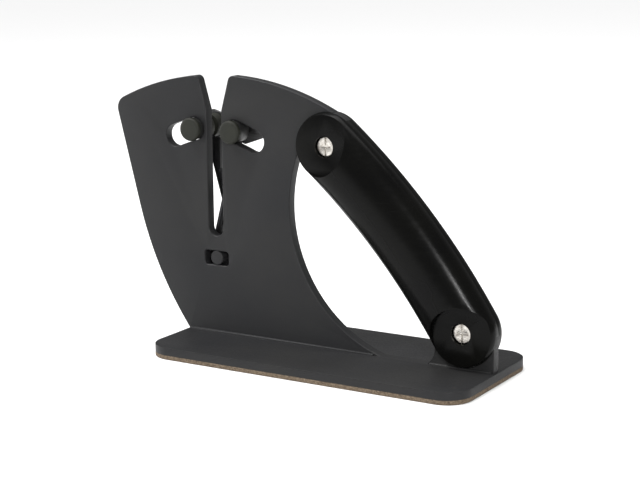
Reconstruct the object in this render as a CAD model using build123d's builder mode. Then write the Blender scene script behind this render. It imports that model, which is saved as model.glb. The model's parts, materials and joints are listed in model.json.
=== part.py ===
from build123d import *
from math import asin, cos, degrees, radians, sin, sqrt
import os

# Bench-top sharpener: an upright plate on a flat base, a V mouth with two sprung crossing
# arms behind it, and a curved grip between the plate and the lug at the other end.
# +X runs along the base towards the grip, -Y is the front and +Z is up.
# The origin is on the bench, under the middle of the whole tool.

os.makedirs("parts", exist_ok=True)

# Base and pad
base_left = -65.2
base_right = 106.8
base_width = 78.0
base_corner = 13.0
pad_chamfer = 0.3
base_thickness = 3.8
pad_thickness = 2.2
deck = pad_thickness + base_thickness

# Upright plate, one piece with the base
plate_front = -1.0
plate_thickness = 5.0
plate_rear = plate_front + plate_thickness
plate_middle = plate_front + plate_thickness / 2
rim_chamfer = 0.35
root_fillet = 0.9
crest_centre = (-42.0, -6.0)
crest_radius = 142.0
shoulder = (-94.5, 67.0)
crest_left_x = -108.0
crest_corner = 6.5
build_overlap = 3.0
root_sink = 1.0
opening_centre = (66.8, 74.0)
opening_radius = 71.0
opening_high = 103.0
opening_half_way = 50.0
rim_lowest = 16.0
plate_cove_inset = (0.6, 4.0)
lug_cove_inset = (1.5, 0.9)

# V mouth and blade slot
slot_x = -47.5
slot_half = 4.4
slot_bottom = 55.4
mouth_half = 10.2
mouth_corner = 3.0
mouth_foot = 118.5

# Grip
grip_top = (17.55, 105.1)
grip_foot = (90.05, 23.4)
grip_bow = 4.3
grip_half = 16.4
skirt_depth = 3.0
cover_height = 10.0
hub_height = 3.5
hub_cut_radius = 15.6
hub_cut_shift = 2.6
lug_left = 71.2
lug_bend = (73.7, 8.9)
lug_neck = (75.0, 12.5)
lug_right = 105.4

# Grip fasteners
screw_head_radius = 4.8
screw_head_height = 1.2
screw_head_round = 0.5
screw_slot_width = 0.9
screw_slot_depth = 0.7
cross_slot_length = 5.2
socket_radius = 2.2
nut_tip_gap = 0.6
screw_tip_gap = 0.2
sink_radius = 5.1
sink_depth = 3.1
barrel_radius = 3.0
barrel_hole_radius = 3.1
thread_radius = 2.0

# Arms: each turns on a pin on the far side of the slot, so the two cross
pivot_offset = 12.5
pivot_z = 20.0
knob_offset = 11.75
knob_z = 108.6
arm_reach = sqrt((pivot_offset + knob_offset) ** 2 + (knob_z - pivot_z) ** 2)
lean = degrees(asin((pivot_offset + knob_offset) / arm_reach))
arm_travel = 7.8
arm_thickness = 3.0
arm_level = {"right": plate_rear + 1.0, "left": plate_rear + 4.6}
shank_half = 2.6
shank_top = 20.0
blade_outer = 0.8
blade_inner = 0.9
bar_width = 1.4
bar_start = 36.5
bar_length = 33.0
bar_depth = 2.0
guard_x = 3.2
guard_low = 88.0
guard_high = 103.4
guard_root = 8.6
hub_radius = 6.0
head_radius = 3.6
peg_radius = 0.8
peg_height = 1.2
peg_across = 3.4
peg_reach = 8.5
peg_land = 0.6
blade_taper = 4.0
head_taper = 6.0
guard_taper = 3.4

# Knob stacks
track_half = 5.6
roller_radius = 5.4
knob_radius = 5.8
knob_height = 2.6
knob_round = 1.3
knob_thread_depth = 1.6
knob_gap = 2.2
collar_radius = 5.9
cap_radius = 5.9
cap_height = 6.0
cap_round = 0.8
cap_recess = 3.4
cap_recess_radius = 2.9
tab_thickness = 2.0
tab_corner = 1.6
tab_inner = 5.0
tab_outer = 13.0
stud_radius = 1.5
stud_head_radius = 2.7
stud_head_height = 2.8
stud_socket_radius = 1.4
stud_socket_depth = 1.5

# Pins, bracket, springs and window post
pin_radius = 2.5
pin_head_radius = 4.2
pin_head_height = 1.8
pin_head_round = 0.6
pin_seat_depth = 3.2
bush_radius = 3.6
running_gap = 0.05
side_gap = 0.1
spacer_radius = 3.4
bracket_front = plate_rear + 8.4
bracket_thickness = 2.0
bracket_rear = bracket_front + bracket_thickness
bracket_low = 12.5
bracket_high = 54.0
bracket_foot_half = 18.0
bracket_top_half = 20.0
bracket_corner = 4.0
pillar_radius = 3.2
pillar_x = 15.5
pillar_z = 48.0
bracket_screw_radius = 1.4
bracket_screw_head = 2.6
bracket_screw_height = 1.8
bracket_screw_round = 0.8
bracket_slot = (3.4, 0.8)
bracket_slot_depth = 1.0
bracket_screw_gap = 0.3
window_half = 7.1
window_height = 7.3
window_z = 44.1
window_corner = 1.6
post_radius = 3.6
post_flange_width = 7.0
post_flange_height = 10.6
post_flange_thickness = 0.6
spring_radius = 4.2
spring_wire = 0.4
spring_turns = 3.25
spring_leg = 9.0
leg_room = 0.5


def upright(y):
    """A plane that faces the front at depth y, with its axes along X and Z."""
    return Plane.XZ.offset(-y)


def save(piece, name):
    piece.part.label = name
    export_step(piece.part, f"parts/{name}.step")


def beside(point, radial, distance):
    """The point moved square to a radial direction, towards the grip's foot if distance is positive."""
    return (point[0] + distance * radial[1], point[1] - distance * radial[0])


def crest_z(x):
    return crest_centre[1] + sqrt(crest_radius**2 - (x - crest_centre[0]) ** 2)


def opening_x(z):
    return opening_centre[0] - sqrt(opening_radius**2 - (z - opening_centre[1]) ** 2)


# The grip's centre line bows outward between its two screws, as one arc about a far centre
half_chord = sqrt((grip_foot[0] - grip_top[0]) ** 2 + (grip_foot[1] - grip_top[1]) ** 2) / 2
bow_radius = (half_chord**2 + grip_bow**2) / (2 * grip_bow)
grip_normal = (
    (grip_top[1] - grip_foot[1]) / (2 * half_chord),
    (grip_foot[0] - grip_top[0]) / (2 * half_chord),
)
chord_mid = ((grip_top[0] + grip_foot[0]) / 2, (grip_top[1] + grip_foot[1]) / 2)
grip_mid = (chord_mid[0] + grip_bow * grip_normal[0], chord_mid[1] + grip_bow * grip_normal[1])
bow_centre = (grip_mid[0] - bow_radius * grip_normal[0], grip_mid[1] - bow_radius * grip_normal[1])
top_radial = (
    (grip_top[0] - bow_centre[0]) / bow_radius,
    (grip_top[1] - bow_centre[1]) / bow_radius,
)
foot_radial = (
    (grip_foot[0] - bow_centre[0]) / bow_radius,
    (grip_foot[1] - bow_centre[1]) / bow_radius,
)
grip_angle = 2 * degrees(asin(half_chord / bow_radius))


# ---- skirt band: the part of the grip's outer edge that the two covers close over ----
with BuildLine() as grip_line:
    ThreePointArc(grip_top, grip_mid, grip_foot)
grip_arc = grip_line.edges()[0]
skirt_reach = grip_half * 2
with BuildSketch() as skirt_band:
    SlotArc(grip_arc, grip_half * 2)
    SlotArc(grip_arc, (grip_half - skirt_depth) * 2, mode=Mode.SUBTRACT)
    with BuildLine():
        skirt_top = (
            grip_top[0] + skirt_reach * top_radial[0],
            grip_top[1] + skirt_reach * top_radial[1],
        )
        Polyline(
            grip_top,
            skirt_top,
            (grip_foot[0] + skirt_reach, skirt_top[1]),
            (grip_foot[0] + skirt_reach, grip_foot[1]),
            grip_foot,
            close=True,
        )
    make_face(mode=Mode.INTERSECT)


# ---- frame: base, upright plate, tang of the grip and lug ----
right_pin = (slot_x + pivot_offset, pivot_z)
left_pin = (slot_x - pivot_offset, pivot_z)
# An arm is named after the side its knob is on, and turns on the other side's pin
arm_pin = {"right": left_pin, "left": right_pin}
side_sign = {"right": 1, "left": -1}
arm_lean = radians(lean)


def track_point(side, angle):
    x, z = arm_pin[side]
    turn = radians(lean + angle)
    return (x + side_sign[side] * arm_reach * sin(turn), z + arm_reach * cos(turn))


with BuildPart() as frame:
    with BuildSketch(upright(plate_rear)) as plate_outline:
        with BuildLine():
            opening_top = (opening_x(opening_high), opening_high)
            crest_right_x = grip_top[0] + build_overlap
            crest_right = (crest_right_x, crest_z(crest_right_x))
            crest_left = (crest_left_x, crest_z(crest_left_x))
            crest_peak = (crest_centre[0], crest_centre[1] + crest_radius)
            ThreePointArc(crest_right, crest_peak, crest_left)
            Line(crest_left, shoulder)
            TangentArc(
                shoulder,
                (base_left, deck),
                tangent=(shoulder[0] - crest_left[0], shoulder[1] - crest_left[1]),
            )
            Line((base_left, deck), (base_left, deck - root_sink))
            Line((base_left, deck - root_sink), (opening_x(deck), deck - root_sink))
            Line((opening_x(deck), deck - root_sink), (opening_x(deck), deck))
            opening_side = (opening_x(opening_half_way), opening_half_way)
            ThreePointArc((opening_x(deck), deck), opening_side, opening_top)
            Line(opening_top, grip_top)
            Line(grip_top, crest_right)
        make_face()
        SlotArc(grip_arc, grip_half * 2)
        with BuildLine():
            ThreePointArc((lug_left, deck), lug_bend, lug_neck)
            Line(lug_neck, (lug_neck[0], grip_foot[1]))
            Line((lug_neck[0], grip_foot[1]), (lug_right, grip_foot[1]))
            Line((lug_right, grip_foot[1]), (lug_right, deck - root_sink))
            Line((lug_right, deck - root_sink), (lug_left, deck - root_sink))
            Line((lug_left, deck - root_sink), (lug_left, deck))
        make_face()
        # Round the top left corner
        fillet(plate_outline.vertices().sort_by_distance((*crest_left, 0))[0], crest_corner)
        # V mouth
        with BuildLine():
            Polyline(
                (slot_x - slot_half, mouth_foot),
                (slot_x - mouth_half, crest_peak[1] + build_overlap),
                (slot_x + mouth_half, crest_peak[1] + build_overlap),
                (slot_x + slot_half, mouth_foot),
                close=True,
            )
        make_face(mode=Mode.SUBTRACT)
        for sign in (-1, 1):
            mouth_corner_x = slot_x + sign * mouth_half
            mouth_corner_at = (mouth_corner_x, crest_z(mouth_corner_x), 0)
            fillet(plate_outline.vertices().sort_by_distance(mouth_corner_at)[0], mouth_corner)
        # Blade slot with a round bottom
        with Locations((slot_x, (slot_bottom + slot_half + mouth_foot) / 2)):
            Rectangle(slot_half * 2, mouth_foot - slot_bottom - slot_half, mode=Mode.SUBTRACT)
        with Locations((slot_x, slot_bottom + slot_half)):
            Circle(slot_half, mode=Mode.SUBTRACT)
        # Window for the post
        with Locations((slot_x, window_z)):
            RectangleRounded(window_half * 2, window_height, window_corner, mode=Mode.SUBTRACT)
        # Curved tracks that the knob rollers run in
        for side in ("right", "left"):
            with BuildLine(mode=Mode.PRIVATE) as track:
                ThreePointArc(
                    track_point(side, 0.0),
                    track_point(side, arm_travel / 2),
                    track_point(side, arm_travel),
                )
            SlotArc(track.edges()[0], track_half * 2, mode=Mode.SUBTRACT)
        # Holes for the two grip fasteners
        with Locations(grip_top, grip_foot):
            Circle(barrel_hole_radius, mode=Mode.SUBTRACT)
    extrude(amount=plate_thickness)
    rim = (
        frame.edges()
        .filter_by(Plane.XZ)
        .filter_by(lambda e: e.center().Z > rim_lowest)
        .group_by(Axis.Y)[0]
    )
    chamfer(rim, length=rim_chamfer)
    # The grip's skirts take the place of the tang's outer edge
    with BuildSketch(upright(plate_rear)):
        add(skirt_band.sketch_local)
    extrude(amount=plate_thickness, mode=Mode.SUBTRACT)
    with BuildSketch(Plane.XY.offset(pad_thickness)):
        with Locations(((base_left + base_right) / 2, 0)):
            RectangleRounded(base_right - base_left, base_width, base_corner)
    extrude(amount=base_thickness)
    # Small coves where the plate and the lug meet the base, front and rear
    for cove_start, cove_end in (
        (base_left + plate_cove_inset[0], opening_x(deck) - plate_cove_inset[1]),
        (lug_left + lug_cove_inset[0], lug_right - lug_cove_inset[1]),
    ):
        with BuildSketch(Plane.YZ.offset(cove_start)):
            with BuildLine():
                Line((plate_front, deck), (plate_front - root_fillet, deck))
                RadiusArc((plate_front - root_fillet, deck), (plate_front, deck + root_fillet), root_fillet)
                Line((plate_front, deck + root_fillet), (plate_front, deck))
            make_face()
            with BuildLine():
                Line((plate_rear, deck), (plate_rear + root_fillet, deck))
                RadiusArc((plate_rear + root_fillet, deck), (plate_rear, deck + root_fillet), -root_fillet)
                Line((plate_rear, deck + root_fillet), (plate_rear, deck))
            make_face()
        extrude(amount=cove_end - cove_start)
    # Blind seats in the rear face for the pivot pins and the bracket screws
    with BuildSketch(upright(plate_rear)):
        with Locations(left_pin, right_pin):
            Circle(pin_radius)
        with Locations((slot_x - pillar_x, pillar_z), (slot_x + pillar_x, pillar_z)):
            Circle(bracket_screw_radius)
    extrude(amount=pin_seat_depth, mode=Mode.SUBTRACT)
save(frame, "frame")


# ---- cork pad glued under the base ----
with BuildPart() as base_pad:
    with BuildSketch():
        with Locations(((base_left + base_right) / 2, 0)):
            RectangleRounded(base_right - base_left, base_width, base_corner)
    extrude(amount=pad_thickness)
    chamfer(base_pad.edges().filter_by(Plane.XY).group_by(Axis.Z)[0], length=pad_chamfer)
save(base_pad, "base_pad")


# ---- grip covers: half-round, on both faces of the tang, with skirts that meet over its outer edge ----
def build_cover(name, face_y, outward):
    """One cover against the tang face at face_y; outward is -1 for the front and 1 for the rear."""
    floor_plane = upright(face_y + outward * hub_height)
    with BuildPart() as cover:
        # Half-round tube, turned about the centre of the bowed centre line
        section = Plane(
            origin=(grip_top[0], face_y, grip_top[1]),
            x_dir=(0, outward, 0),
            z_dir=(-outward * top_radial[1], 0, outward * top_radial[0]),
        )
        with BuildSketch(section):
            Ellipse(cover_height, grip_half)
            with Locations((-cover_height, 0)):
                Rectangle(cover_height * 2, grip_half * 3, mode=Mode.SUBTRACT)
        revolve(axis=Axis((bow_centre[0], 0, bow_centre[1]), (0, 1, 0)), revolution_arc=grip_angle)
        # A half dome closes each end
        for centre, lie in ((grip_top, top_radial), (grip_foot, foot_radial)):
            end_section = Plane(
                origin=(centre[0], face_y, centre[1]),
                x_dir=(0, outward, 0),
                z_dir=(-outward * lie[1], 0, outward * lie[0]),
            )
            with BuildSketch(end_section):
                Ellipse(cover_height, grip_half)
                with Locations((-cover_height, 0)):
                    Rectangle(cover_height * 2, grip_half * 3, mode=Mode.SUBTRACT)
                with Locations((0, -grip_half)):
                    Rectangle(cover_height * 4, grip_half * 2, mode=Mode.SUBTRACT)
            turn = 180.0 if centre == grip_top else -180.0
            revolve(axis=Axis((centre[0], 0, centre[1]), (0, 1, 0)), revolution_arc=turn)
        # Skirt over half the tang's thickness
        with BuildSketch(upright(plate_middle)):
            add(skirt_band.sketch_local)
        extrude(amount=-outward * plate_thickness / 2)
        # Round pockets, set towards the grip's ends, that leave a low flat hub round each screw
        with BuildSketch(floor_plane):
            with Locations(
                beside(grip_top, top_radial, -hub_cut_shift),
                beside(grip_foot, foot_radial, hub_cut_shift),
            ):
                Circle(hub_cut_radius)
        extrude(amount=-outward * cover_height, mode=Mode.SUBTRACT)
        # Counterbores and holes for the screw or nut heads
        with BuildSketch(floor_plane):
            with Locations(grip_top, grip_foot):
                Circle(sink_radius)
        extrude(amount=outward * sink_depth, mode=Mode.SUBTRACT)
        with BuildSketch(floor_plane):
            with Locations(grip_top, grip_foot):
                Circle(barrel_hole_radius)
        extrude(amount=outward * hub_height, mode=Mode.SUBTRACT)
    save(cover, name)


build_cover("grip_front", plate_front, -1)
build_cover("grip_rear", plate_rear, 1)


# ---- grip screws and the barrel nuts they thread into, two of each ----
screw_seat = plate_front - hub_height + sink_depth
nut_seat = plate_rear + hub_height - sink_depth
with BuildPart() as grip_screws:
    for centre in (grip_top, grip_foot):
        with BuildSketch(upright(screw_seat)):
            with Locations(centre):
                Circle(screw_head_radius)
        extrude(amount=screw_head_height)
        with BuildSketch(upright(screw_seat)):
            with Locations(centre):
                Circle(thread_radius)
        extrude(amount=-(nut_seat - screw_seat - screw_tip_gap))
    head_rims = grip_screws.edges().filter_by(GeomType.CIRCLE).group_by(Axis.Y)[0]
    fillet(head_rims, radius=screw_head_round)
    # Straight slot with a short cross slot
    for centre in (grip_top, grip_foot):
        with BuildSketch(upright(screw_seat - screw_head_height)):
            with Locations(centre):
                Rectangle(screw_slot_width, screw_head_radius * 3)
                Rectangle(cross_slot_length, screw_slot_width)
        extrude(amount=-screw_slot_depth, mode=Mode.SUBTRACT)
save(grip_screws, "grip_screws")

with BuildPart() as barrel_nuts:
    for centre in (grip_top, grip_foot):
        with BuildSketch(upright(nut_seat)):
            with Locations(centre):
                Circle(screw_head_radius)
        extrude(amount=-screw_head_height)
        with BuildSketch(upright(nut_seat)):
            with Locations(centre):
                Circle(barrel_radius)
        extrude(amount=nut_seat - screw_seat - nut_tip_gap)
    nut_rims = barrel_nuts.edges().filter_by(GeomType.CIRCLE).group_by(Axis.Y)[-1]
    fillet(nut_rims, radius=screw_head_round)
    for centre in (grip_top, grip_foot):
        with BuildSketch(upright(nut_seat)):
            with Locations(centre):
                Circle(thread_radius)
        extrude(amount=nut_seat - screw_seat, mode=Mode.SUBTRACT)
        # Hexagon socket in the head
        with BuildSketch(upright(nut_seat + screw_head_height)):
            with Locations(centre):
                RegularPolygon(socket_radius, 6)
        extrude(amount=screw_slot_depth, mode=Mode.SUBTRACT)
save(barrel_nuts, "barrel_nuts")


# ---- pivot bracket: a plate behind the arms that holds the pins' rear ends ----
pillars = ((slot_x - pillar_x, pillar_z), (slot_x + pillar_x, pillar_z))
with BuildPart() as bracket:
    with BuildSketch(upright(bracket_rear)) as bracket_outline:
        with BuildLine():
            Polyline(
                (slot_x - bracket_foot_half, bracket_low),
                (slot_x + bracket_foot_half, bracket_low),
                (slot_x + bracket_top_half, bracket_high),
                (slot_x - bracket_top_half, bracket_high),
                close=True,
            )
        make_face()
        fillet(bracket_outline.vertices(), bracket_corner)
    extrude(amount=bracket_thickness)
    with BuildSketch(upright(bracket_front)):
        with Locations(*pillars):
            Circle(pillar_radius)
    extrude(amount=bracket_front - plate_rear)
    with BuildSketch(upright(bracket_rear)):
        with Locations(left_pin, right_pin):
            Circle(pin_radius + running_gap)
    extrude(amount=bracket_thickness, mode=Mode.SUBTRACT)
    with BuildSketch(upright(bracket_rear)):
        with Locations(*pillars):
            Circle(bracket_screw_radius + side_gap)
    extrude(amount=bracket_rear - plate_rear, mode=Mode.SUBTRACT)
save(bracket, "pivot_bracket")

with BuildPart() as bracket_screws:
    with BuildSketch(upright(bracket_rear)):
        with Locations(*pillars):
            Circle(bracket_screw_head)
    extrude(amount=-bracket_screw_height)
    with BuildSketch(upright(bracket_rear)):
        with Locations(*pillars):
            Circle(bracket_screw_radius)
    extrude(amount=bracket_rear - plate_rear + pin_seat_depth - bracket_screw_gap)
    bracket_rims = bracket_screws.edges().filter_by(GeomType.CIRCLE).group_by(Axis.Y)[-1]
    fillet(bracket_rims, radius=bracket_screw_round)
    with BuildSketch(upright(bracket_rear + bracket_screw_height)):
        with Locations(*pillars):
            Rectangle(bracket_slot[0], bracket_slot[1])
            Rectangle(bracket_slot[1], bracket_slot[0])
    extrude(amount=bracket_slot_depth, mode=Mode.SUBTRACT)
save(bracket_screws, "bracket_screws")


# ---- window post: a round post across the window, flanged behind the plate ----
with BuildPart() as window_post:
    with BuildSketch(upright(plate_rear)):
        with Locations((slot_x, window_z)):
            Circle(post_radius)
    extrude(amount=plate_thickness)
    chamfer(window_post.edges().filter_by(GeomType.CIRCLE).group_by(Axis.Y)[0], length=rim_chamfer)
    with BuildSketch(upright(plate_rear + post_flange_thickness)):
        with Locations((slot_x, window_z)):
            RectangleRounded(post_flange_width, post_flange_height, window_corner)
    extrude(amount=post_flange_thickness)
save(window_post, "window_post")


# ---- left and right mechanism ----
for side in ("right", "left"):
    sign = side_sign[side]
    pin_at = arm_pin[side]
    level = arm_level[side]
    level_rear = level + arm_thickness
    knob_at = (slot_x + sign * knob_offset, knob_z)
    # Local X of the arm's plane points to +X, local Y up the arm from its pin
    arm_plane = Plane(
        origin=(pin_at[0], level_rear, pin_at[1]),
        x_dir=(cos(arm_lean), 0, -sign * sin(arm_lean)),
        z_dir=(0, -1, 0),
    )
    # The spring lies behind the right arm and in front of the left one
    spring_behind = side == "right"
    spring_from = level_rear + side_gap if spring_behind else plate_rear
    spring_to = bracket_front if spring_behind else level - side_gap

    # Pivot pin, pressed into the plate, with a head behind the bracket
    with BuildPart() as pin:
        with BuildSketch(upright(bracket_rear)):
            with Locations(pin_at):
                Circle(pin_radius)
        extrude(amount=bracket_rear - plate_rear + pin_seat_depth)
        with BuildSketch(upright(bracket_rear)):
            with Locations(pin_at):
                Circle(pin_head_radius)
        extrude(amount=-pin_head_height)
        fillet(pin.edges().filter_by(GeomType.CIRCLE).group_by(Axis.Y)[-1], radius=pin_head_round)
    save(pin, f"{side}_pivot_pin")

    # Spacer rings on the pin, before and behind the arm
    with BuildPart() as spacers:
        for ring_front, ring_rear in (
            (plate_rear, level - side_gap),
            (level_rear + side_gap, bracket_front),
        ):
            with BuildSketch(upright(ring_rear)):
                with Locations(pin_at):
                    Circle(spacer_radius)
                    Circle(pin_radius + running_gap, mode=Mode.SUBTRACT)
            extrude(amount=ring_rear - ring_front)
    save(spacers, f"{side}_pivot_spacers")

    # Bronze bush in the arm, free to turn on the pin
    with BuildPart() as bush:
        with BuildSketch(upright(level_rear)):
            with Locations(pin_at):
                Circle(bush_radius)
                Circle(pin_radius + running_gap, mode=Mode.SUBTRACT)
        extrude(amount=arm_thickness)
    save(bush, f"{side}_pivot_bush")

    # Steel arm, drawn upright in its own plane and leaned over by that plane
    with BuildPart() as arm:
        with BuildSketch(arm_plane):
            Circle(hub_radius)
            with BuildLine():
                Polyline(
                    (-sign * shank_half, 0),
                    (-sign * shank_half, shank_top),
                    (-sign * (blade_inner + bar_width), shank_top + blade_taper),
                    (-sign * (blade_inner + bar_width), arm_reach - head_taper),
                    (0, arm_reach),
                    (sign * blade_outer, arm_reach - head_taper),
                    (sign * blade_outer, shank_top + blade_taper),
                    (sign * shank_half, shank_top),
                    (sign * shank_half, 0),
                    close=True,
                )
            make_face()
            with Locations((0, arm_reach)):
                Circle(head_radius)
        extrude(amount=arm_thickness)
        # Guard beside the slot, with upright edges
        with BuildSketch(upright(level_rear)):
            with BuildLine():
                Polyline(
                    (slot_x + sign * guard_x, guard_low),
                    (slot_x + sign * guard_x, guard_high),
                    (slot_x + sign * guard_root, guard_high),
                    (slot_x + sign * guard_root, knob_z),
                    (slot_x + sign * knob_offset, knob_z),
                    (slot_x + sign * (guard_x + guard_taper), guard_low),
                    close=True,
                )
            make_face()
        extrude(amount=arm_thickness)
        # Rebate that the sharpening bar sits in
        with BuildSketch(arm_plane.offset(arm_thickness)):
            with Locations((-sign * (blade_inner + bar_width), bar_start + bar_length / 2)):
                Rectangle(bar_width * 2, bar_length)
        extrude(amount=-bar_depth, mode=Mode.SUBTRACT)
        with BuildSketch(arm_plane):
            Circle(bush_radius)
            with Locations((0, arm_reach)):
                Circle(stud_radius)
        extrude(amount=arm_thickness, mode=Mode.SUBTRACT)
        # Peg that the spring's leg bears on
        peg_plane = arm_plane if spring_behind else arm_plane.offset(arm_thickness)
        with BuildSketch(peg_plane):
            with Locations((sign * peg_across, peg_reach)):
                Circle(peg_radius)
        extrude(amount=-peg_height if spring_behind else peg_height)
        with BuildSketch(arm_plane):
            with Locations((sign * peg_across, peg_reach)):
                Circle(peg_radius + peg_land)
        extrude(amount=arm_thickness)
    save(arm, f"{side}_arm")

    # Carbide bar in the rebate
    with BuildPart() as bar:
        with BuildSketch(arm_plane.offset(arm_thickness)):
            with Locations((-sign * (blade_inner + bar_width / 2), bar_start + bar_length / 2)):
                Rectangle(bar_width, bar_length)
        extrude(amount=-bar_depth)
        chamfer(bar.edges().group_by(Axis.Y)[0], length=0.2)
    save(bar, f"{side}_sharpening_bar")

    # Roller that runs in the plate's curved track
    knob_rear = plate_front - knob_gap
    roller_rear = level if side == "right" else plate_rear + side_gap
    with BuildPart() as roller:
        with BuildSketch(upright(roller_rear)):
            with Locations(knob_at):
                Circle(roller_radius)
                Circle(stud_radius, mode=Mode.SUBTRACT)
        extrude(amount=roller_rear - knob_rear)
    save(roller, f"{side}_track_roller")

    # Domed knob at the front
    with BuildPart() as knob:
        with BuildSketch(upright(knob_rear)):
            with Locations(knob_at):
                Circle(knob_radius)
        extrude(amount=knob_height)
        fillet(knob.edges().filter_by(GeomType.CIRCLE).group_by(Axis.Y)[0], radius=knob_round)
        with BuildSketch(upright(knob_rear)):
            with Locations(knob_at):
                Circle(stud_radius)
        extrude(amount=knob_thread_depth, mode=Mode.SUBTRACT)
    save(knob, f"{side}_knob")

    # The left arm lies further back, so a collar fills the space before it
    if side == "left":
        with BuildPart() as collar:
            with BuildSketch(upright(level)):
                with Locations(knob_at):
                    Circle(collar_radius)
                    Circle(stud_radius, mode=Mode.SUBTRACT)
            extrude(amount=level - roller_rear)
        save(collar, "left_collar")

    # Finger tab: right behind the right arm, and behind the cap on the left
    cap_front = level_rear + tab_thickness if side == "right" else level_rear
    cap_rear = cap_front + cap_height
    tab_rear = cap_front if side == "right" else cap_rear + tab_thickness
    with BuildPart() as tab:
        with BuildSketch(upright(tab_rear)) as tab_outline:
            with BuildLine():
                Polyline(
                    (knob_at[0] - sign * tab_inner, knob_at[1] + 5.5),
                    (knob_at[0] - sign * tab_inner, knob_at[1] - 5.2),
                    (knob_at[0] + sign * 0.5, knob_at[1] - 7.4),
                    (knob_at[0] + sign * tab_outer, knob_at[1] - 3.0),
                    (knob_at[0] + sign * tab_outer, knob_at[1] + 5.0),
                    (knob_at[0] + sign * 2.0, knob_at[1] + 7.5),
                    close=True,
                )
            make_face()
            fillet(tab_outline.vertices(), tab_corner)
            with Locations(knob_at):
                Circle(stud_radius, mode=Mode.SUBTRACT)
        extrude(amount=tab_thickness)
    save(tab, f"{side}_finger_tab")

    # Rear cap
    with BuildPart() as cap:
        with BuildSketch(upright(cap_rear)):
            with Locations(knob_at):
                Circle(cap_radius)
        extrude(amount=cap_height)
        fillet(cap.edges().filter_by(GeomType.CIRCLE).group_by(Axis.Y)[-1], radius=cap_round)
        if side == "right":
            with BuildSketch(upright(cap_rear)):
                with Locations(knob_at):
                    Circle(cap_recess_radius)
            extrude(amount=cap_recess, mode=Mode.SUBTRACT)
        with BuildSketch(upright(cap_rear)):
            with Locations(knob_at):
                Circle(stud_radius)
        extrude(amount=cap_height, mode=Mode.SUBTRACT)
    save(cap, f"{side}_rear_cap")

    # Long screw that ties the stack together
    head_seat = cap_rear - cap_recess if side == "right" else tab_rear
    with BuildPart() as stud:
        with BuildSketch(upright(head_seat)):
            with Locations(knob_at):
                Circle(stud_radius)
        extrude(amount=head_seat - knob_rear + knob_thread_depth - running_gap)
        with BuildSketch(upright(head_seat)):
            with Locations(knob_at):
                Circle(stud_head_radius)
        extrude(amount=-stud_head_height)
        with BuildSketch(upright(head_seat + stud_head_height)):
            with Locations(knob_at):
                RegularPolygon(stud_socket_radius, 6)
        extrude(amount=stud_socket_depth, mode=Mode.SUBTRACT)
    save(stud, f"{side}_knob_screw")

    # Torsion spring round the pin: one leg bears on the arm's peg, the other points down and out
    # The legs run on at the coil's slope, so the coil stops short of both neighbours
    coil_start = spring_from + spring_wire + leg_room
    coil_height = spring_to - spring_wire - leg_room - coil_start
    with BuildPart() as spring:
        coil_plane = Plane(
            origin=(pin_at[0], coil_start, pin_at[1]),
            x_dir=(sign * cos(arm_lean), 0, -sin(arm_lean)),
            z_dir=(0, 1, 0),
        )
        coil = Helix(coil_height / spring_turns, coil_height, spring_radius, lefthand=sign > 0)
        coil = coil_plane.location * coil
        with BuildSketch(Plane(origin=coil @ 0, z_dir=coil % 0)):
            Circle(spring_wire)
        sweep(path=coil, is_frenet=True)
        with BuildSketch(Plane(origin=coil @ 0, z_dir=coil % 0)):
            Circle(spring_wire)
        extrude(amount=-spring_leg)
        with BuildSketch(Plane(origin=coil @ 1, z_dir=coil % 1)):
            Circle(spring_wire)
        extrude(amount=spring_leg)
    save(spring, f"{side}_return_spring")
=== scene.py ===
import json
from math import cos, pi, radians, sin

import bpy
from mathutils import Matrix, Vector


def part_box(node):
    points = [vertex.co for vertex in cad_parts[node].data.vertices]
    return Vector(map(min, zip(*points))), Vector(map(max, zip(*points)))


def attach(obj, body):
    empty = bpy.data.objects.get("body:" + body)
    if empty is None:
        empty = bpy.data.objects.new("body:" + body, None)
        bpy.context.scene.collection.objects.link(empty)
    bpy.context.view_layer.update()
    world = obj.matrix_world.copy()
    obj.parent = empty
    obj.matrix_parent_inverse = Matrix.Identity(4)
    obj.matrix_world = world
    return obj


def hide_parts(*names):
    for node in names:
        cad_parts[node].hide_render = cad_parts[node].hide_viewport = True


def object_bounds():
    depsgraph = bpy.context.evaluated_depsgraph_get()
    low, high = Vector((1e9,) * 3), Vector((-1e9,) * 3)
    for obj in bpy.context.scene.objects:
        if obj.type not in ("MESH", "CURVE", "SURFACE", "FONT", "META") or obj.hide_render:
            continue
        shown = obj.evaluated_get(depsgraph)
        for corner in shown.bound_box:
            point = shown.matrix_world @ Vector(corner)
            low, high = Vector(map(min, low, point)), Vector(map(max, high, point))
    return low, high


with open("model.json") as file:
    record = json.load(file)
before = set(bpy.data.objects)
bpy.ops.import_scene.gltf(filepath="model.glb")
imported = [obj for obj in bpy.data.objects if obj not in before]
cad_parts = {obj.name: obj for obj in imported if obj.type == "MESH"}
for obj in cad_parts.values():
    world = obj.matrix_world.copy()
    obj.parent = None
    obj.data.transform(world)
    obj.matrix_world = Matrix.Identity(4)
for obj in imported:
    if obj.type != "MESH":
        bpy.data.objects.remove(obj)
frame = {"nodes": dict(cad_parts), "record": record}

mm = 0.001
cadLow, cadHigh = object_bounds()
middle = (Vector(cadLow) + Vector(cadHigh)) / 2


def deselectAll():
    if bpy.context.object and bpy.context.object.mode != "OBJECT":
        bpy.ops.object.mode_set(mode="OBJECT")
    bpy.ops.object.select_all(action="DESELECT")


def makeActive(piece):
    deselectAll()
    piece.select_set(True)
    bpy.context.view_layer.objects.active = piece


# ---------- small helpers for node materials ----------

def newMaterial(name, settings):
    material = bpy.data.materials.new(name)
    material.use_nodes = True
    shader = material.node_tree.nodes["Principled BSDF"]
    for socket, value in settings.items():
        shader.inputs[socket].default_value = value
    return material, material.node_tree, shader


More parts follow.
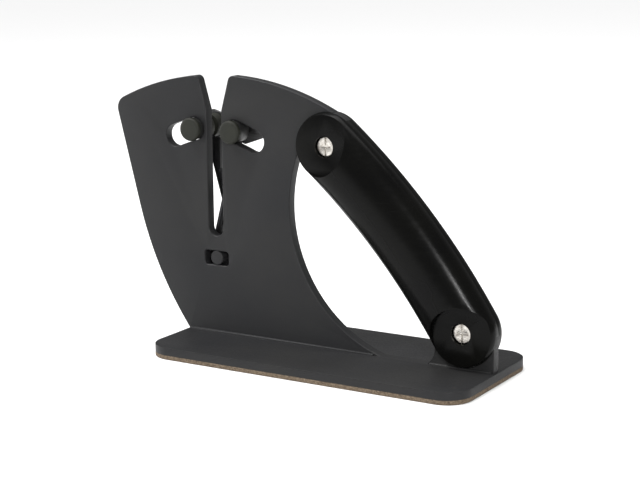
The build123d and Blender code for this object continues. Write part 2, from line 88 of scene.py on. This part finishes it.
def addNode(tree, kind, **settings):
    node = tree.nodes.new(kind)
    for key, value in settings.items():
        if key in node.inputs:
            node.inputs[key].default_value = value
        else:
            setattr(node, key, value)
    return node


def objectCoords(tree, scale=(1, 1, 1)):
    coords = addNode(tree, "ShaderNodeTexCoord")
    mapping = addNode(tree, "ShaderNodeMapping", Scale=scale)
    tree.links.new(coords.outputs["Object"], mapping.inputs["Vector"])
    return mapping.outputs["Vector"]


def noise(tree, vector, size, detail=3.0, rough=0.5):
    # size is the width of one blotch in metres
    texture = addNode(tree, "ShaderNodeTexNoise", Scale=1 / size, Detail=detail, Roughness=rough)
    tree.links.new(vector, texture.inputs["Vector"])
    return texture.outputs["Fac"]


def remap(tree, value, low, high, toLow, toHigh):
    node = addNode(tree, "ShaderNodeMapRange")
    for index, number in enumerate((low, high, toLow, toHigh)):
        node.inputs[index + 1].default_value = number
    tree.links.new(value, node.inputs["Value"])
    return node.outputs["Result"]


def ramp(tree, value, stops):
    node = addNode(tree, "ShaderNodeValToRGB")
    elements = node.color_ramp.elements
    while len(elements) < len(stops):
        elements.new(0.5)
    for element, (place, colour) in zip(elements, stops):
        element.position = place
        element.color = (*colour, 1)
    tree.links.new(value, node.inputs["Fac"])
    return node.outputs["Color"]


def addBump(tree, shader, heights):
    # heights is a list of (value, depth in metres), laid one over another
    normal = None
    for value, depth in heights:
        bump = addNode(tree, "ShaderNodeBump", Strength=1.0, Distance=depth)
        tree.links.new(value, bump.inputs["Height"])
        if normal:
            tree.links.new(normal, bump.inputs["Normal"])
        normal = bump.outputs["Normal"]
    tree.links.new(normal, shader.inputs["Normal"])


# ---------- materials ----------
# Sizes and depths are in metres. A ramp is a list of (place from 0 to 1, colour).

enamelSettings = {
    "gloss": 0.17,
    "cloudSize": 0.055,
    "cloudRamp": [(0.3, (0.0135, 0.0138, 0.0151)), (0.7, (0.0185, 0.0183, 0.0182))],
    "hairStretch": (1, 1, 14),
    "hairSize": 0.018,
    "hairShare": 0.16,  # how much the hairline scratches add to the roughness
    "hairDepth": 0.00001,
    "speckSize": 0.0009,
    "roughness": (0.34, 0.42),
    "peelSize": 0.0011,
    "peelDepth": 0.00003,
}


def enamelMaterial():
    # Dark satin coat on steel: a fine orange peel, faint clouding and a few hairline scratches
    s = enamelSettings
    material, tree, shader = newMaterial("plateEnamel", {"Metallic": 0.0, "Specular IOR Level": s["gloss"]})
    coords = objectCoords(tree)
    cloud = noise(tree, coords, s["cloudSize"], 4)
    tree.links.new(ramp(tree, cloud, s["cloudRamp"]), shader.inputs["Base Color"])
    hairs = noise(tree, objectCoords(tree, s["hairStretch"]), s["hairSize"], 8, 0.7)
    speck = noise(tree, coords, s["speckSize"], 2)
    mix = addNode(tree, "ShaderNodeMath", operation="MULTIPLY_ADD")
    tree.links.new(hairs, mix.inputs[0])
    mix.inputs[1].default_value = s["hairShare"]
    tree.links.new(remap(tree, speck, 0.3, 0.7, *s["roughness"]), mix.inputs[2])
    tree.links.new(mix.outputs[0], shader.inputs["Roughness"])
    addBump(tree, shader, [
        (noise(tree, coords, s["peelSize"], 2), s["peelDepth"]),
        (hairs, s["hairDepth"]),
    ])
    return material


corkSettings = {
    "roughness": 0.9,
    "granule": 0.0006,
    "granuleDepth": 0.0002,
    "grainSize": 0.0006,
    "grainDepth": 0.0001,
    "ramp": [
        (0.0, (0.060, 0.040, 0.025)),
        (0.3, (0.095, 0.068, 0.043)),
        (0.75, (0.13, 0.096, 0.062)),
        (1.0, (0.16, 0.12, 0.08)),
    ],
}


def corkMaterial():
    # Pressed cork: pale and dark granules in a brown binder
    s = corkSettings
    material, tree, shader = newMaterial("corkGranules", {"Roughness": s["roughness"]})
    coords = objectCoords(tree)
    cells = addNode(tree, "ShaderNodeTexVoronoi", Scale=1 / s["granule"])
    tree.links.new(coords, cells.inputs["Vector"])
    grey = addNode(tree, "ShaderNodeSeparateColor")
    tree.links.new(cells.outputs["Color"], grey.inputs["Color"])
    tree.links.new(ramp(tree, grey.outputs[0], s["ramp"]), shader.inputs["Base Color"])
    addBump(tree, shader, [
        (cells.outputs["Distance"], s["granuleDepth"]),
        (noise(tree, coords, s["grainSize"], 4), s["grainDepth"]),
    ])
    return material


gripSettings = {
    "gloss": 0.08,
    "cloudSize": 0.03,
    "cloudRamp": [(0.3, (0.0022, 0.0022, 0.0022)), (0.7, (0.0034, 0.0034, 0.003))],
    "swirlStretch": (1, 3, 9),
    "swirlSize": 0.012,
    "roughness": (0.19, 0.29),
    "rippleSize": 0.004,
    "rippleDepth": 0.000015,
}


def gripMaterial():
    # Polished moulded plastic with faint swirl marks from handling
    s = gripSettings
    material, tree, shader = newMaterial("gripPlastic", {"Specular IOR Level": s["gloss"]})
    coords = objectCoords(tree)
    cloud = noise(tree, coords, s["cloudSize"], 3)
    tree.links.new(ramp(tree, cloud, s["cloudRamp"]), shader.inputs["Base Color"])
    swirl = noise(tree, objectCoords(tree, s["swirlStretch"]), s["swirlSize"], 6, 0.65)
    tree.links.new(remap(tree, swirl, 0.3, 0.75, *s["roughness"]), shader.inputs["Roughness"])
    addBump(tree, shader, [(noise(tree, coords, s["rippleSize"], 2), s["rippleDepth"])])
    return material


nickelSettings = {
    "dirtSize": 0.0022,
    "dirtRamp": [(0.32, (0.12, 0.06, 0.04)), (0.40, (0.50, 0.47, 0.43)), (0.8, (0.66, 0.64, 0.60))],
    "roughness": (0.5, 0.24),
    "turningStretch": (1, 1, 6),
    "turningSize": 0.0008,
    "turningDepth": 0.00003,
}


def nickelMaterial():
    # Plated steel with turning marks and brownish dirt in patches
    s = nickelSettings
    material, tree, shader = newMaterial("nickelPlate", {"Metallic": 1.0})
    coords = objectCoords(tree)
    dirt = noise(tree, coords, s["dirtSize"], 3, 0.6)
    tree.links.new(ramp(tree, dirt, s["dirtRamp"]), shader.inputs["Base Color"])
    tree.links.new(remap(tree, dirt, 0.3, 0.6, *s["roughness"]), shader.inputs["Roughness"])
    turning = noise(tree, objectCoords(tree, s["turningStretch"]), s["turningSize"], 4)
    addBump(tree, shader, [(turning, s["turningDepth"])])
    return material


blackSteelSettings = {
    "metallic": 0.6,
    "streakStretch": (6, 6, 1),
    "streakSize": 0.006,
    "streakRamp": [(0.35, (0.006, 0.006, 0.0065)), (0.8, (0.018, 0.018, 0.019))],
    "roughness": (0.36, 0.55),
    "grainSize": 0.0006,
    "grainDepth": 0.00002,
}


def blackSteelMaterial():
    # Black oxide, rubbed slightly grey in streaks
    s = blackSteelSettings
    material, tree, shader = newMaterial("blackSteel", {"Metallic": s["metallic"]})
    streaks = noise(tree, objectCoords(tree, s["streakStretch"]), s["streakSize"], 6, 0.65)
    tree.links.new(ramp(tree, streaks, s["streakRamp"]), shader.inputs["Base Color"])
    tree.links.new(remap(tree, streaks, 0.3, 0.8, *s["roughness"]), shader.inputs["Roughness"])
    addBump(tree, shader, [(noise(tree, objectCoords(tree), s["grainSize"], 3), s["grainDepth"])])
    return material


groundBarSettings = {
    "lineStretch": (1, 1, 30),
    "lineSize": 0.004,
    "lineRamp": [(0.35, (0.045, 0.045, 0.048)), (0.7, (0.085, 0.085, 0.09))],
    "lineDepth": 0.00002,
    "roughness": (0.28, 0.45),
}


def groundBarMaterial():
    # Hard bar with fine cross grinding lines
    s = groundBarSettings
    material, tree, shader = newMaterial("groundBar", {"Metallic": 1.0})
    lines = noise(tree, objectCoords(tree, s["lineStretch"]), s["lineSize"], 6, 0.7)
    tree.links.new(ramp(tree, lines, s["lineRamp"]), shader.inputs["Base Color"])
    tree.links.new(remap(tree, lines, 0.3, 0.7, *s["roughness"]), shader.inputs["Roughness"])
    addBump(tree, shader, [(lines, s["lineDepth"])])
    return material


springWireSettings = {
    "drawnSize": 0.0015,
    "drawnRamp": [(0.3, (0.33, 0.33, 0.34)), (0.7, (0.55, 0.55, 0.56))],
    "roughness": (0.22, 0.38),
}


def springWireMaterial():
    # Drawn spring steel, a little uneven in tone
    s = springWireSettings
    material, tree, shader = newMaterial("springWire", {"Metallic": 1.0})
    drawn = noise(tree, objectCoords(tree), s["drawnSize"], 5, 0.6)
    tree.links.new(ramp(tree, drawn, s["drawnRamp"]), shader.inputs["Base Color"])
    tree.links.new(remap(tree, drawn, 0.3, 0.7, *s["roughness"]), shader.inputs["Roughness"])
    return material


bronzeSettings = {
    "poreSize": 0.0005,
    "poreRamp": [(0.35, (0.16, 0.09, 0.04)), (0.6, (0.48, 0.31, 0.15))],
    "poreDepth": 0.00003,
    "roughness": (0.55, 0.35),
}


def bronzeMaterial():
    # Sintered bush: warm, a little porous, dark with oil
    s = bronzeSettings
    material, tree, shader = newMaterial("oiledBronze", {"Metallic": 1.0})
    pores = noise(tree, objectCoords(tree), s["poreSize"], 4)
    tree.links.new(ramp(tree, pores, s["poreRamp"]), shader.inputs["Base Color"])
    tree.links.new(remap(tree, pores, 0.3, 0.7, *s["roughness"]), shader.inputs["Roughness"])
    addBump(tree, shader, [(pores, s["poreDepth"])])
    return material


rollerSettings = {
    "rubStretch": (1, 5, 1),
    "rubSize": 0.004,
    "rubRamp": [(0.3, (0.006, 0.006, 0.006)), (0.8, (0.018, 0.018, 0.017))],
    "roughness": (0.35, 0.6),
}


def rollerMaterial():
    # Black nylon with a rubbed band
    s = rollerSettings
    material, tree, shader = newMaterial("rollerNylon", {})
    rub = noise(tree, objectCoords(tree, s["rubStretch"]), s["rubSize"], 4)
    tree.links.new(ramp(tree, rub, s["rubRamp"]), shader.inputs["Base Color"])
    tree.links.new(remap(tree, rub, 0.3, 0.8, *s["roughness"]), shader.inputs["Roughness"])
    return material


knobSettings = {
    "gloss": 0.22,
    "bloomSize": 0.006,
    "bloomRamp": [(0.3, (0.0095, 0.0102, 0.0072)), (0.75, (0.0155, 0.0163, 0.0115))],
    "roughness": (0.52, 0.68),
    "grainSize": 0.0004,
    "grainDepth": 0.00003,
}


def knobMaterial():
    # Matt olive grey rubber with a fine moulded grain
    s = knobSettings
    material, tree, shader = newMaterial("knobRubber", {"Specular IOR Level": s["gloss"]})
    coords = objectCoords(tree)
    bloom = noise(tree, coords, s["bloomSize"], 3)
    tree.links.new(ramp(tree, bloom, s["bloomRamp"]), shader.inputs["Base Color"])
    tree.links.new(remap(tree, bloom, 0.3, 0.8, *s["roughness"]), shader.inputs["Roughness"])
    addBump(tree, shader, [(noise(tree, coords, s["grainSize"], 2), s["grainDepth"])])
    return material


tabSettings = {
    "metallic": 0.5,
    "brushStretch": (1, 1, 12),
    "brushSize": 0.008,
    "brushRamp": [(0.35, (0.05, 0.05, 0.05)), (0.7, (0.085, 0.085, 0.085))],
    "brushDepth": 0.00001,
    "roughness": (0.34, 0.5),
}


def tabMaterial():
    # Grey sheet steel, brushed along its length
    s = tabSettings
    material, tree, shader = newMaterial("tabSteel", {"Metallic": s["metallic"]})
    brushed = noise(tree, objectCoords(tree, s["brushStretch"]), s["brushSize"], 6, 0.65)
    tree.links.new(ramp(tree, brushed, s["brushRamp"]), shader.inputs["Base Color"])
    tree.links.new(remap(tree, brushed, 0.3, 0.7, *s["roughness"]), shader.inputs["Roughness"])
    addBump(tree, shader, [(brushed, s["brushDepth"])])
    return material


finishes = {
    "plate_enamel": enamelMaterial(),
    "cork": corkMaterial(),
    "grip_plastic": gripMaterial(),
    "nickel_steel": nickelMaterial(),
    "black_steel": blackSteelMaterial(),
    "spring_steel": springWireMaterial(),
    "bronze": bronzeMaterial(),
    "carbide": groundBarMaterial(),
    "roller_plastic": rollerMaterial(),
    "knob_plastic": knobMaterial(),
    "tab_steel": tabMaterial(),
}
slotOf = {part["node"]: part["material_slot"] for part in frame["record"]["subparts"]}
bodyOf = {
    node: body
    for body, members in frame["record"]["behaviour"]["bodies"].items()
    for node in members
}
for name, piece in frame["nodes"].items():
    piece.data.materials.clear()
    piece.data.materials.append(finishes[slotOf[name]])
print("materials made:", len(finishes))


# ---------- rounded versions of the CAD parts ----------

roundingSettings = {
    "merge": 0.002 * mm,  # corners closer than this are one corner
    "flat": 0.6,  # faces that meet at less than this many degrees are joined
    "sharp": 40,  # edges over this many degrees are rounded
    "smooth": 35,
    "segments": 3,
    "seamSlack": 0.05 * mm,
}


def markRoundedEdges(piece, seam):
    # Sharp edges get a bevel weight, apart from those that lie in the seam plane
    s = roundingSettings
    bpy.ops.mesh.select_all(action="DESELECT")
    bpy.ops.mesh.select_mode(type="EDGE")
    bpy.ops.mesh.edges_select_sharp(sharpness=radians(s["sharp"]))
    bpy.ops.object.mode_set(mode="OBJECT")
    mesh = piece.data
    for edge in mesh.edges:
        if all(abs(mesh.vertices[corner].co.y - seam) < s["seamSlack"] for corner in edge.vertices):
            edge.select = False
    bpy.ops.object.mode_set(mode="EDIT")
    bpy.ops.transform.edge_bevelweight(value=1)


def roundedPart(name, node, rounding, seam=None):
    # A merged copy of the CAD part whose sharp edges are rounded over
    s = roundingSettings
    source = frame["nodes"][node]
    piece = bpy.data.objects.new(name, source.data.copy())
    bpy.context.scene.collection.objects.link(piece)
    makeActive(piece)
    bpy.ops.object.mode_set(mode="EDIT")
    bpy.ops.mesh.select_all(action="SELECT")
    bpy.ops.mesh.remove_doubles(threshold=s["merge"])
    bpy.ops.mesh.dissolve_limited(angle_limit=radians(s["flat"]))
    if seam is not None:
        markRoundedEdges(piece, seam)
    bpy.ops.object.mode_set(mode="OBJECT")
    bevel = piece.modifiers.new("roundEdges", "BEVEL")
    bevel.width = rounding
    bevel.segments = s["segments"]
    bevel.limit_method = "ANGLE" if seam is None else "WEIGHT"
    bevel.angle_limit = radians(s["sharp"])
    bevel.use_clamp_overlap = True
    bevel.miter_outer = "MITER_ARC"
    bpy.ops.object.modifier_apply(modifier=bevel.name)
    bpy.ops.object.shade_smooth_by_angle(angle=radians(s["smooth"]))
    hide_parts(node)
    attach(piece, bodyOf[node])


# ---------- camera, floor and light ----------

cameraSettings = {
    # azimuth, elevation and roll in degrees, lens and sensor in millimetres
    "azimuth": 31.24,
    "elevation": 11.84,
    "roll": -0.53,
    "distance": 0.792,
    "lens": 92.7,
    "sensor": 36,
    "nearest": 0.01,
    "aim": (0.01253, 0.0, -0.00877),  # from the middle of the whole tool
}


def addCamera():
    s = cameraSettings
    turn, lift = radians(s["azimuth"]), radians(s["elevation"])
    back = Vector((sin(turn) * cos(lift), -cos(turn) * cos(lift), sin(lift)))
    data = bpy.data.cameras.new("studioCamera")
    data.lens = s["lens"]
    data.sensor_width = s["sensor"]
    data.clip_start = s["nearest"]
    camera = bpy.data.objects.new("studioCamera", data)
    bpy.context.scene.collection.objects.link(camera)
    camera.location = Vector((middle.x, 0, middle.z)) + Vector(s["aim"]) + back * s["distance"]
    tilt = Matrix.Rotation(turn, 3, "Z") @ Matrix.Rotation(pi / 2 - lift, 3, "X")
    camera.rotation_euler = (tilt @ Matrix.Rotation(radians(s["roll"]), 3, "Z")).to_euler()
    bpy.context.scene.camera = camera


floorSettings = {"size": 14, "shade": 0.86, "roughness": 0.8, "gloss": 0.1}


def addFloor():
    s = floorSettings
    deselectAll()
    bpy.ops.mesh.primitive_plane_add(size=s["size"], location=(0, 0, 0))
    floor = bpy.context.object
    floor.name = "studioFloor"
    material = newMaterial("paleFloor", {
        "Base Color": (s["shade"], s["shade"], s["shade"], 1),
        "Roughness": s["roughness"],
        "Specular IOR Level": s["gloss"],
    })[0]
    floor.data.materials.append(material)


lightSettings = {
    # place, aim, width, height, power in watts
    "topBox": ((0.15, 0.35, 1.25), (0, 0, 0.05), 0.9, 0.6, 6),
    "keyLamp": ((-0.62, -0.26, 1.05), (0, 0, 0.03), 0.14, 0.14, 6),
    "rightStrip": ((0.75, -0.89, 0.50), (0.09, 0, 0.04), 0.08, 0.26, 9),
    "leftFill": ((-0.9, -0.55, 0.75), (0, 0, 0.06), 0.5, 0.5, 1.0),
    "leftLow": ((-1.1, -0.34, 0.30), (0, 0, 0.1), 0.12, 0.22, 5),
}
skySettings = {"sunPower": 2.8, "sunWidth": 60, "sunLean": (12, -14, 0), "worldPower": 0.25}


def addLights():
    for name, (place, aim, width, height, power) in lightSettings.items():
        data = bpy.data.lights.new(name, "AREA")
        data.shape = "RECTANGLE"
        data.size, data.size_y, data.energy = width, height, power
        lamp = bpy.data.objects.new(name, data)
        bpy.context.scene.collection.objects.link(lamp)
        lamp.location = place
        lamp.rotation_euler = (Vector(place) - Vector(aim)).to_track_quat("Z", "Y").to_euler()
    s = skySettings
    # A broad soft sun keeps the floor evenly pale out to the horizon
    sunData = bpy.data.lights.new("softSun", "SUN")
    sunData.energy = s["sunPower"]
    sunData.angle = radians(s["sunWidth"])
    sun = bpy.data.objects.new("softSun", sunData)
    bpy.context.scene.collection.objects.link(sun)
    sun.rotation_euler = [radians(turn) for turn in s["sunLean"]]
    world = bpy.data.worlds.new("studioWorld")
    world.use_nodes = True
    world.node_tree.nodes["Background"].inputs["Color"].default_value = (1, 1, 1, 1)
    world.node_tree.nodes["Background"].inputs["Strength"].default_value = s["worldPower"]
    bpy.context.scene.world = world
    bpy.context.scene.view_settings.view_transform = "Standard"


addCamera()
addFloor()
addLights()
print("camera, floor and light are in place")

# How far each part's sharp edges are rounded, in metres
roundings = {
    "frame": 0.5 * mm,
    "grip_front": 0.5 * mm,
    "grip_rear": 0.5 * mm,
    "base_pad": 0.2 * mm,
    "window_post": 0.2 * mm,
    "pivot_bracket": 0.4 * mm,
    "grip_screws": 0.15 * mm,
    "barrel_nuts": 0.15 * mm,
    "left_collar": 0.4 * mm,
    "bracket_screws": 0.12 * mm,
}
sideRoundings = {
    "arm": 0.2 * mm,
    "finger_tab": 0.3 * mm,
    "track_roller": 0.3 * mm,
    "knob": 0.3 * mm,
    "rear_cap": 0.3 * mm,
    "knob_screw": 0.15 * mm,
    "pivot_pin": 0.2 * mm,
    "sharpening_bar": 0.08 * mm,
    "pivot_bush": 0.1 * mm,
    "pivot_spacers": 0.15 * mm,
}
for side in ("right", "left"):
    for part, rounding in sideRoundings.items():
        roundings[f"{side}_{part}"] = rounding
# The two grip covers meet in one plane, and the seam between them stays closed
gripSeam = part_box("grip_front")[1][1]
gripCovers = ("grip_front", "grip_rear")
for node, rounding in roundings.items():
    first, *others = node.split("_")
    name = first + "".join(word.capitalize() for word in others) + "Part"
    roundedPart(name, node, rounding, gripSeam if node in gripCovers else None)
print("rounded parts made:", len(roundings))
